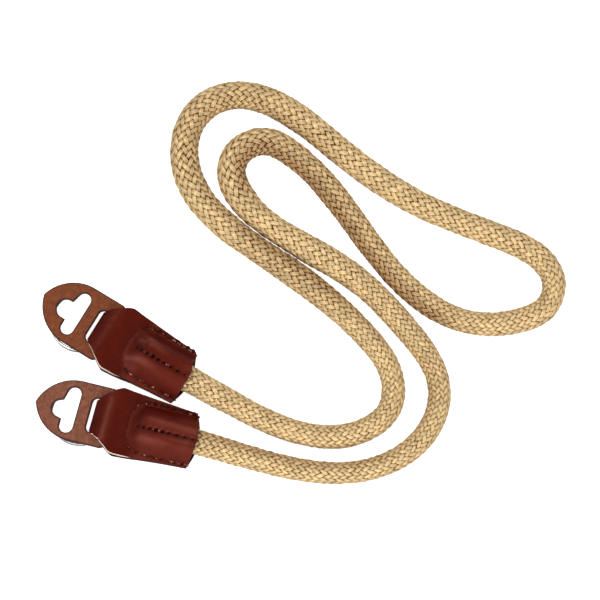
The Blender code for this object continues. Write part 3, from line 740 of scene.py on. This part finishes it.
def sleeveSkin(end):
    x, turn, along = sleevePath()
    columns = int(round(sleeve["stripWidth"] / sleeve["step"]))
    share = np.linspace(-1, 1, columns + 1)
    under, over = np.array(sleeve["underFold"]).T, np.array(sleeve["overFold"]).T
    foldWidth = np.where(turn < 0, np.interp(-turn, *under), np.interp(turn, *over))
    halfWidth = np.where(np.abs(turn) < 90, foldWidth, readRow(x, "halfWidth", 0.5))
    # the corners between the fold's widths are rounded off
    weights = np.hanning(9)[1:-1] / np.hanning(9)[1:-1].sum()
    halfWidth = np.convolve(np.pad(halfWidth, 3, mode="edge"), weights, "valid")
    gridX = np.repeat(x[:, None], len(share), 1)
    lowSide = np.where(turn > 0, np.interp(x, *np.array(end["lowSide"]).T), np.interp(x, *np.array(end["lowSole"]).T))
    y = (halfWidth[:, None] + lowSide[:, None] * (share < 0)[None]) * share[None] + end["sleeveY"]
    points, pull, stretch = sleeveShell(end, gridX, y, (turn > 0)[:, None])
    middle = sleeve["foldHeight"] / 2
    foldZ = middle + middle * np.sin(np.radians(turn))[:, None] + 0 * y
    folded = np.stack([shiftedX(end, gridX), y, foldZ], -1)
    points = np.where((np.abs(turn) < 90)[:, None, None], folded, points)
    # the cut edge is painted pale along one side of the upper layer
    pale = ease((-share[None] - 0.5) * 3) * (turn > sleeve["paleTurn"])[:, None] * (1 - ramp(gridX, sleeve["paleX"]))
    thick = 1 - np.interp(turn, sleeve["paredTurns"], (0.0, 1.0, 1.0, 0.0))[:, None] + 0 * y
    top = (turn > 0)[:, None]
    values = {"pull": pull, "pale": pale, "thick": thick, "stretch": stretchAndLitShare(end, gridX, y, stretch) * top}
    # painted highlight streaks, and streaks with less gloss
    for name in ("worn", "dull"):
        values[name] = streakShare(end[name], points[..., 0], y) * top
    return points, np.stack([along[:, None] + 0 * y, y], -1), values


def rimShare(rows, columns):
    # 1 on the strip's first column of points, where its low side is cut
    share = np.zeros((rows, columns))
    share[:, 0] = 1.0
    return share.ravel()


def makeSleeve(sideName, end, leather, cutEdge, rim, seed):
    points, flat, values = sleeveSkin(end)
    rows, columns = points.shape[:2]
    bpy.ops.object.select_all(action="DESELECT")
    bpy.ops.mesh.primitive_grid_add(x_subdivisions=columns - 1, y_subdivisions=rows - 1, size=1.0)
    piece = bpy.context.object
    piece.name = "folded_sleeve_" + sideName
    mesh = piece.data
    mesh.name = piece.name
    # the grid's own points run along x first
    order = points.reshape(-1, 3)
    ripple = np.array([noiseAt(p, seed) for p in order]) * sleeve["ripple"]
    order = order + np.column_stack([0 * ripple, 0 * ripple, ripple]) * np.clip(order[:, 2:] - 0.3, 0, 1)
    mesh.vertices.foreach_set("co", placed(order, end).astype(np.float32).ravel())
    while mesh.uv_layers:
        mesh.uv_layers.remove(mesh.uv_layers[0])
    storeMap(mesh, flat.reshape(-1, 2))
    for name in ("pull", "stretch", "worn", "dull", "pale"):
        storeValues(mesh, name, values[name])
    thick = piece.vertex_groups.new(name="thick")
    for index, share in enumerate(values["thick"].ravel()):
        thick.add([index], float(share), "REPLACE")
    mesh.update()
    if mesh.polygons[len(mesh.polygons) - 1].normal.z < 0:
        mesh.flip_normals()
    for material in (leather, cutEdge, rim):
        mesh.materials.append(material)
    applyModifier(
        piece, "SOLIDIFY", thickness=sleeve["thickness"] * mm, offset=-1.0, use_even_offset=True,
        material_offset_rim=1, vertex_group=thick.name, thickness_vertex_group=sleeve["pared"],
    )
    # the pale cut slants outwards, so it shows from above
    sideways = endMatrix(end).to_3x3() @ Vector((0.0, -1.0, 0.0))
    outer, inner = np.array([v.co for v in mesh.vertices]).reshape(2, -1, 3)
    pale = values["pale"].ravel()
    inner += pale[:, None] * sleeve["slant"] * mm * np.array(sideways) * rimShare(rows, columns)[:, None]
    mesh.vertices.foreach_set("co", np.concatenate([outer, inner]).astype(np.float32).ravel())
    # and darkens towards its lower rim
    mesh.attributes["pale"].data.foreach_set("value", np.concatenate([pale, 0 * pale]).astype(np.float32))
    # only the edges between the skin and the cut side are rounded
    sides = {}
    for polygon in mesh.polygons:
        for key in polygon.edge_keys:
            sides[key] = sides.get(key, 0) + (1 if polygon.material_index == 1 else 10)
    weights = mesh.attributes.new("bevel_weight_edge", "FLOAT", "EDGE")
    weights.data.foreach_set("value", [float(sides.get(tuple(sorted(edge.vertices))) == 11) for edge in mesh.edges])
    applyModifier(piece, "BEVEL", width=sleeve["edgeRadius"] * mm, segments=2, limit_method="WEIGHT", material=2)
    piece.data.shade_smooth()
    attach(piece, "root")
    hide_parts("leather_sleeve_" + sideName)
    return piece


def noiseAt(point, seed):
    size = sleeve["blotch"]
    spot = Vector((point[0] / size + seed, point[1] / size, point[2] / size))
    return noise.noise(spot) + 0.4 * noise.noise(spot * 2.7)


def oxbloodLeather():
    # full grain cowhide, aniline dyed oxblood and polished: deep red brown, smooth pores, soft gloss
    material, shader, add = newMaterial("polished oxblood cowhide", {"Specular Tint": "ffa68b"})
    place = add("TexCoord", out="Object")
    cloud = add("TexNoise", {"Scale": 160.0, "Detail": 4.0, "Roughness": 0.6}, {"Vector": place})
    pores = add("TexVoronoi", {"Scale": 1500.0}, {"Vector": place})
    grain = add("TexNoise", {"Scale": 700.0, "Detail": 5.0, "Roughness": 0.65}, {"Vector": place})
    pull, stretch, worn, dull = (
        add("Attribute", {"attribute_name": name}, out="Fac") for name in ("pull", "stretch", "worn", "dull")
    )
    # redder over the rope, where it is stretched and painted lit from the front, lighter in the painted highlight
    # streaks, as in the photo, and painted shade in the needle holes and the groove
    lying, stretchedAndLit = (
        add("ValToRGB", {"stops": tuple(zip((0.3, 0.5, 0.7), shades))}, {"Fac": cloud})
        for shades in (("400a04", "480d05", "4f1107"), ("541a12", "5c1e14", "642217"))
    )
    redder = add("Mix", blended, {"Factor": stretch, 6: lying, 7: stretchedAndLit}, out=2)
    # painted highlight colour along the streaks
    lighter = add("Mix", {**blended, 7: "763c33"}, {"Factor": worn, 6: redder}, out=2)
    holeShade = add("ValToRGB", {"stops": ((0.28, "ffffff"), (0.45, "a08078"), (0.62, "40241e"))}, {"Fac": pull})
    fine = add("Bump", {"Strength": 0.35, "Distance": 0.00008}, {"Height": pores})
    plug(shader, {
        "Base Color": add("Mix", multiplied, {6: lighter, 7: holeShade}, out=2),
        "Roughness": add("MapRange", {**grainRange, "To Min": 0.38, "To Max": 0.50}, {"Value": grain}),
        "Normal": add("Bump", {"Strength": 0.4, "Distance": 0.00015}, {"Height": grain, "Normal": fine}),
        "Specular IOR Level": add("MapRange", {"To Min": 0.26, "To Max": 0.05}, {"Value": dull}),
    })
    return material


def cutLeatherEdge():
    # the strip's cut edge: stained dark and rubbed, but along its low side it is painted pale, with a fibrous grain
    material, shader, add = newMaterial("cut leather edge", {"Roughness": 0.7, "Specular IOR Level": 0.25})
    place = add("TexCoord", out="Object")
    fibre = add("TexNoise", {"Scale": 2200.0, "Detail": 3.0}, {"Vector": place})
    stained, bare = (
        add("ValToRGB", {"stops": tuple(zip((0.3, 0.7), shades))}, {"Fac": fibre})
        for shades in (("2a0c08", "431711"), ("d9b7aa", "f6e6de"))
    )
    pale = add("Attribute", {"attribute_name": "pale"}, out="Fac")
    share = add("MapRange", {"From Min": 0.25, "From Max": 0.5}, {"Value": pale})
    plug(shader, {
        "Base Color": add("Mix", blended, {"Factor": share, 6: stained, 7: bare}, out=2),
        "Normal": add("Bump", {"Strength": 0.6, "Distance": 0.0001}, {"Height": fibre}),
    })
    return material


# ---------- stitches
def makeStitches(sideName, end, thread, seed):
    # one stitch is modelled once and copied from needle hole to needle hole, above and below
    bpy.ops.object.select_all(action="DESELECT")
    bpy.ops.mesh.primitive_cylinder_add(
        vertices=stitch["sides"], radius=1.0, depth=2.0, end_fill_type="NGON", rotation=(0, math.pi / 2, 0)
    )
    model = bpy.context.object
    bpy.ops.object.transform_apply(location=False, rotation=True, scale=False)
    for cutX in stitch["cuts"]:
        with editMode():
            bpy.ops.mesh.bisect(plane_co=(cutX, 0, 0), plane_no=(1, 0, 0))
    shape = np.array([v.co for v in model.data.vertices])
    faces = [list(p.vertices) for p in model.data.polygons]
    bpy.data.objects.remove(model)
    rng = np.random.default_rng(seed)
    points, allFaces, tones = [], [], []
    for top in (True, False):
        for row in stitchRows():
            for start, stop in zip(row, row[1:]):
                way = stop - start
                # hand sewn: each stitch sits a little higher or lower and slants its own way
                crown = stitch["crown"] + rng.normal(0, stitch["unevenCrown"])
                slant = rng.normal(0, stitch["unevenSlant"])
                path = (start + stop) / 2 + way * (shape[:, :1] * stitch["fill"] / 2)
                path[:, 0] += slant * shape[:, 0]
                ground, _, _ = sleeveShell(end, path[:, 0], path[:, 1], np.full(len(path), top))
                lifted = crown - (stitch["bury"] + crown) * np.abs(shape[:, 0]) ** 3
                taper = stitch["radius"] * (1 - 0.3 * np.abs(shape[:, 0]) ** 4)
                sign = 1 if top else -1
                across = np.array([-way[1], way[0]]) / np.hypot(*way)
                ground[:, :2] += across * (shape[:, 1] * taper)[:, None]
                ground[:, 2] += sign * (lifted + shape[:, 2] * taper)
                # those below are pressed flat where the strap lies on them
                pressed = stitch["floor"] + stitch["press"] * ground[:, 2]
                ground[:, 2] = np.where(ground[:, 2] < 0.05, pressed, ground[:, 2])
                first = len(shape) * len(points)
                allFaces += [[first + i for i in (face if top else face[::-1])] for face in faces]
                tone = rng.uniform() if start[0] > stitch["frontX"] else rng.uniform(0.3, 0.5)
                tones += [tone] * len(shape)
                points.append(ground)
    piece = addPiece("sewn_thread_" + sideName, placed(np.concatenate(points), end), allFaces, thread)
    storeValues(piece.data, "tone", tones)
    piece.data.shade_smooth()
    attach(piece, "root")
    return piece


def waxedThread():
    # twisted polyester thread, waxed and as dark as the leather, with a few lighter stitches that carry painted glints
    material, shader, add = newMaterial("waxed polyester thread", {
        "Roughness": 0.4, "Specular IOR Level": 0.3, "Specular Tint": "ffb8a8",
    })
    place = add("TexCoord", out="Object")
    wave = {"Scale": 900.0, "Distortion": 1.0, "bands_direction": "DIAGONAL"}
    ply = add("TexWave", wave, {"Vector": place}, out="Fac")
    tone = add("Attribute", {"attribute_name": "tone"}, out="Fac")
    byStitch = add("ValToRGB", {
        "stops": ((0.0, "33100a"), (0.5, "5a2018"), (0.8, "742f25"), (1.0, "8d4a3e")),
    }, {"Fac": tone})
    twist = add("ValToRGB", {"stops": ((0.2, "a09088"), (0.8, "ffffff"))}, {"Fac": ply})
    twisted = add("Mix", multiplied, {6: byStitch, 7: twist}, out=2)
    # painted glints: pale flecks on the lighter stitches
    paintedGlint = add("TexNoise", {"Scale": 1300.0, "Detail": 1.0}, {"Vector": place})
    spot = add("MapRange", {"From Min": 0.57, "From Max": 0.63}, {"Value": paintedGlint})
    often = add("MapRange", {"From Min": 0.4, "From Max": 0.6}, {"Value": tone})
    share = add("Math", {"operation": "MULTIPLY"}, {0: spot, 1: often})
    plug(shader, {
        "Base Color": add("Mix", {**blended, 7: "dba79a"}, {"Factor": share, 6: twisted}, out=2),
        "Normal": add("Bump", {"Strength": 0.5, "Distance": 0.0001}, {"Height": ply}),
    })
    return material


# ---------- guard tabs
tab = {
    "thickness": 2.0, "straightX": 17.3, "noseRadius": 18.2, "tipRadius": 1.5, "rearRadius": 2.5,
    "lift": 2.2, "tilt": 5.0,
    # the hole: round ends, and the notches where its straight sides meet the lobe
    "holeRadius": 2.9, "holeEnds": ((14.95, 6.6), (14.95, -6.95)), "holeNotches": ((11.2, 3.5), (12.1, -4.45)),
    "slotX": (23.7, 28.4), "slotHalf": 7.2, "slotCorner": 2.2,
    "edge": 0.55,
    "flatFace": 0.985,  # faces that lie flatter than this have the face's leather
}


def arc(centre, radius, start, stop, steps):
    turns = np.radians(np.linspace(start, stop, steps + 1))
    return [(centre[0] + radius * math.cos(t), centre[1] + radius * math.sin(t)) for t in turns]


def leaned(points, end):
    return [(x, y + end["lean"] * x) for x, y in points]


def tabOutline(end):
    halfWidth, length = end["tabHalfWidth"], end["tabLength"]
    centreY = halfWidth - tab["noseRadius"]
    reach = tab["noseRadius"] - tab["tipRadius"]
    tipX = tab["straightX"] - math.sqrt(reach**2 - centreY**2)
    touch = math.degrees(math.atan2(-centreY, tipX - tab["straightX"]))
    nose = arc((tab["straightX"], centreY), tab["noseRadius"], 90, touch, 40)
    tip = arc((tipX, 0.0), tab["tipRadius"], touch, 180, 8)[1:]
    corner = (length - tab["rearRadius"], halfWidth - tab["rearRadius"])
    half = arc(corner, tab["rearRadius"], 0, 90, 12) + nose + tip
    return leaned(half + [(x, -y) for x, y in reversed(half[:-1])], end)


def holeOutline(end):
    # the upper round end, the lobe on the tip's side and the lower round end
    shift, radius = end["holeShift"], tab["holeRadius"]
    (upperX, upperY), (lowerX, lowerY) = tab["holeEnds"]
    (notchX, notchY), (otherX, otherY) = tab["holeNotches"]
    lobeX, lobeY, lobeRadius = end["lobe"]
    points = arc((upperX + shift, upperY), radius, 0, 165, 22) + [(notchX + shift, notchY)]
    points += arc((lobeX, lobeY), lobeRadius, 100, 260, 30) + [(otherX + shift, otherY)]
    return leaned(points + arc((lowerX + shift, lowerY), radius, 195, 360, 22), end)


def slotOutline(end):
    x0, x1 = (x + end["slotShift"] for x in tab["slotX"])
    x0, x1, y = x0 + tab["slotCorner"], x1 - tab["slotCorner"], tab["slotHalf"] - tab["slotCorner"]
    corners = (((x1, y), 0), ((x0, y), 90), ((x0, -y), 180), ((x1, -y), 270))
    return leaned([p for centre, start in corners for p in arc(centre, tab["slotCorner"], start, start + 90, 8)], end)


def makeTab(sideName, end, face, edge):
    data = bpy.data.curves.new("hanging_tab_" + sideName, "CURVE")
    data.dimensions = "2D"
    data.fill_mode = "BOTH"
    data.extrude = tab["thickness"] / 2 - tab["edge"]
    data.bevel_depth = tab["edge"]
    data.bevel_resolution = 2
    data.offset = -tab["edge"]
    for outline in (tabOutline(end), holeOutline(end), slotOutline(end)):
        spline = data.splines.new("POLY")
        spline.points.add(len(outline) - 1)
        for point, (x, y) in zip(spline.points, outline):
            point.co = (x, y, 0.0, 1.0)
        spline.use_cyclic_u = True
    piece = bpy.data.objects.new("hanging_tab_" + sideName, data)
    bpy.context.scene.collection.objects.link(piece)
    bpy.ops.object.select_all(action="DESELECT")
    piece.select_set(True)
    bpy.context.view_layer.objects.active = piece
    bpy.ops.object.convert(target="MESH")
    piece = bpy.context.object
    mesh = piece.data
    with editMode():
        bpy.ops.mesh.remove_doubles(threshold=0.0005)
        bpy.ops.mesh.normals_make_consistent(inside=False)
    mesh.materials.clear()
    for material in (face, edge):
        mesh.materials.append(material)
    for polygon in mesh.polygons:
        polygon.material_index = 0 if abs(polygon.normal.z) > tab["flatFace"] else 1
    rise = Matrix.Translation((0, 0, tab["lift"])) @ Matrix.Rotation(-math.radians(tab["tilt"]), 4, "Y")
    matrix = endMatrix(end) @ Matrix.Scale(mm, 4) @ rise @ Matrix.Translation((0, 0, tab["thickness"] / 2))
    mesh.transform(matrix)
    mesh.shade_smooth()
    mesh.set_sharp_from_angle(angle=math.radians(50))
    piece.name = "hanging_tab_" + sideName
    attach(piece, "root")
    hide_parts("guard_tab_" + sideName)
    return piece


def mattLeather(name, shades):
    # vegetable tanned leather with its flesh side out: matt, with short fibres
    material, shader, add = newMaterial(name, {"Specular IOR Level": 0.25, "Roughness": 0.82})
    place = add("TexCoord", out="Object")
    cloud = add("TexNoise", {"Scale": 520.0, "Detail": 5.0, "Roughness": 0.75}, {"Vector": place})
    fibre = add("TexNoise", {"Scale": 1500.0, "Detail": 4.0, "Roughness": 0.7, "Distortion": 1.5}, {"Vector": place})
    base = add("ValToRGB", {"stops": tuple(zip((0.3, 0.5, 0.7), shades))}, {"Fac": cloud})
    streak = add("ValToRGB", {"stops": ((0.3, "cfcac8"), (0.7, "ffffff"))}, {"Fac": fibre})
    plug(shader, {
        "Base Color": add("Mix", multiplied, {6: base, 7: streak}, out=2),
        "Normal": add("Bump", {"Strength": 0.5, "Distance": 0.00012}, {"Height": fibre}),
    })
    return material


def burnishedEdge(name, shades):
    # a leather edge, rubbed dark and a little shiny
    settings = {"Roughness": 0.5, "Specular IOR Level": 0.3}
    return grainMaterial(name, settings, {"Scale": 900.0, "Detail": 3.0}, tuple(zip((0.3, 0.7), shades)))


# ---------- split rings
ring = {
    "outerRadius": 13.4, "wireWidth": 1.2, "wireHeight": 1.1, "coilPitch": 1.2,
    "stepTurns": (305.0, 360.0), "lastTurn": 662.0, "firstAngle": 200.0, "segments": 260, "tilt": 5.0,
    "sides": 16, "corner": 0.8,  # the wire is a rectangle with well rounded corners: 1 is an ellipse, 0 a box
}


def makeRing(sideName, end, steel):
    # the wire's outline is turned round nearly twice, then raised after its first turn
    radius = ring["outerRadius"] - ring["wireWidth"] / 2
    bpy.ops.object.select_all(action="DESELECT")
    bpy.ops.mesh.primitive_circle_add(
        vertices=ring["sides"], radius=1.0, location=(radius, 0, 0), rotation=(math.pi / 2, 0, 0)
    )
    piece = bpy.context.object
    bpy.ops.object.transform_apply(location=True, rotation=True, scale=True)
    for vertex in piece.data.vertices:
        out, up = vertex.co.x - radius, vertex.co.z
        vertex.co.x = radius + math.copysign(abs(out) ** ring["corner"], out) * ring["wireWidth"] / 2
        vertex.co.z = math.copysign(abs(up) ** ring["corner"], up) * ring["wireHeight"] / 2
    angle = math.radians(ring["lastTurn"])
    with editMode():
        bpy.ops.mesh.spin(steps=ring["segments"], angle=angle, center=(0, 0, 0), axis=(0, 0, 1))
    mesh = piece.data
    points = np.array([v.co for v in mesh.vertices])
    turn = (np.arange(len(points)) // ring["sides"]) / ring["segments"] * ring["lastTurn"]
    points[:, 2] += ring["wireHeight"] / 2 + ring["coilPitch"] * ramp(turn, ring["stepTurns"])
    mesh.vertices.foreach_set("co", points.astype(np.float32).ravel())
    storeValues(mesh, "flank", np.abs(np.hypot(points[:, 0], points[:, 1]) - radius) / (ring["wireWidth"] / 2))
    with editMode():
        bpy.ops.mesh.fill_holes(sides=0)
        bpy.ops.mesh.select_all(action="SELECT")
        bpy.ops.mesh.normals_make_consistent(inside=False)
    spin = Matrix.Rotation(math.radians(ring["firstAngle"]), 4, "Z")
    tilt = math.radians(ring["tilt"])
    place = (end["ringX"], end["ringY"], ring["outerRadius"] * math.sin(tilt))
    lie = Matrix.Translation(place) @ Matrix.Rotation(-tilt, 4, "Y")
    mesh.transform(endMatrix(end) @ Matrix.Scale(mm, 4) @ lie @ spin)
    mesh.shade_smooth()
    mesh.set_sharp_from_angle(angle=math.radians(60))
    mesh.materials.append(steel)
    piece.name = "split_coil_" + sideName
    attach(piece, "root")
    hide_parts("split_ring_" + sideName)
    return piece


def nickelSteel():
    # spring steel wire, nickel plated and polished: bright, with fine rubbing marks. Its sides are coloured darker,
    # for the dark surroundings that they mirror in the photo and not in this white room
    material, shader, add = newMaterial("nickel plated steel", {"Metallic": 1.0})
    place = add("TexCoord", out="Object")
    marks = add("TexNoise", {"Scale": 900.0, "Detail": 4.0, "Distortion": 2.0}, {"Vector": place})
    nickel = add("ValToRGB", {"stops": ((0.3, "dddbd7"), (0.7, "efedea"))}, {"Fac": marks})
    flank = add("Attribute", {"attribute_name": "flank"}, out="Fac")
    sides = add("ValToRGB", {"stops": ((0.55, "ffffff"), (0.95, "5c544c"))}, {"Fac": flank})
    plug(shader, {
        "Base Color": add("Mix", multiplied, {6: nickel, 7: sides}, out=2),
        "Roughness": add("MapRange", {**grainRange, "To Min": 0.34, "To Max": 0.46}, {"Value": marks}),
    })
    return material


sleeveLeather, sleeveEdge, threadLook = oxbloodLeather(), cutLeatherEdge(), waxedThread()
sleeveRim = burnishedEdge("rubbed leather rim", ("2a0b07", "43150f"))
tabFaces = {
    "upper": mattLeather("matt red brown leather", ("6c361c", "814323", "96522d")),
    "lower": mattLeather("matt brown leather", ("70402e", "88513c", "a0654e")),
}
tabEdge, ringSteel = burnishedEdge("burnished tab edge", ("2c120a", "4a2215")), nickelSteel()
for index, (sideName, end) in enumerate(ends.items()):
    makeSleeve(sideName, end, sleeveLeather, sleeveEdge, sleeveRim, 3.1 + 7.7 * index)
    makeStitches(sideName, end, threadLook, 21 + index)
    makeTab(sideName, end, tabFaces[sideName], tabEdge)
    makeRing(sideName, end, ringSteel)
    print(sideName, "leather end ready")


# ---------- table and light
stageSetup = {
    "glow": 0.9,  # the paper is lit from below too, so no hard shadow lies on it
    # height in the tent, from straight below to straight above, and its brightness there
    "tent": (
        (0.0, 0.42), (0.44, 0.55), (0.50, 0.80), (0.56, 0.95), (0.66, 0.85), (0.80, 0.72), (0.93, 0.40), (1.0, 0.25),
    ),
    "tentPower": 0.90,
    "middle": (0.07, 0.03, 0.0),  # the lights are aimed at it
    "tableDrop": 0.0002,
    # name, place, size and power
    "lights": (
        ("upper soft box", (-0.28, 0.33, 1.0), (0.45, 0.36), 4.5),
        ("right soft box", (0.80, 0.50, 0.50), (0.6, 0.5), 2.0),
        ("front soft box", (0.10, -0.97, 0.46), (0.8, 0.5), 7.7),
    ),
}


def addStage(setup):
    bpy.ops.object.select_all(action="DESELECT")
    bpy.ops.mesh.primitive_plane_add(size=6.0, location=(*setup["middle"][:2], -setup["tableDrop"]))
    table = bpy.context.object
    table.name = "table"
    table.data.materials.append(grainMaterial("matt white paper", {
        "Roughness": 0.9, "Specular IOR Level": 0.1, "Emission Color": "ffffff", "Emission Strength": setup["glow"],
    }, {"Scale": 900.0}, ((0.0, "f1f1f1"), (1.0, "f6f6f6"))))
    # what it throws back on the strap is in the tent's lower half
    table.visible_diffuse = False
    table.visible_glossy = False
    world = bpy.data.worlds.new("soft room")
    bpy.context.scene.world = world
    world.use_nodes = True
    add = partial(addNode, world.node_tree)
    way = add("TexCoord", out="Generated")
    up = add("SeparateXYZ", links={"Vector": way}, out="Z")
    height = add("MapRange", {"From Min": -1.0, "From Max": 1.0}, {"Value": up})
    tent = add("FloatCurve", links={"Value": height})
    mapping = tent.node.mapping
    points = mapping.curves[0].points
    points[0].location, points[1].location = setup["tent"][0], setup["tent"][-1]
    for spot in setup["tent"][1:-1]:
        points.new(*spot)
    mapping.update()
    background = world.node_tree.nodes["Background"]
    plug(background, {"Color": tent})
    setSockets(background, {"Strength": setup["tentPower"]})


def addLight(name, place, size, power):
    light = bpy.data.objects.new(name, bpy.data.lights.new(name, "AREA"))
    light.data.shape = "RECTANGLE"
    light.data.size, light.data.size_y = size
    light.data.energy = power
    light.location = place
    aim = Vector(stageSetup["middle"]) - Vector(place)
    light.rotation_mode = "QUATERNION"
    light.rotation_quaternion = aim.to_track_quat("-Z", "Y")
    bpy.context.scene.collection.objects.link(light)


addStage(stageSetup)
for light in stageSetup["lights"]:
    addLight(*light)
bpy.context.scene.view_settings.view_transform = "Standard"
print("stage and light ready")
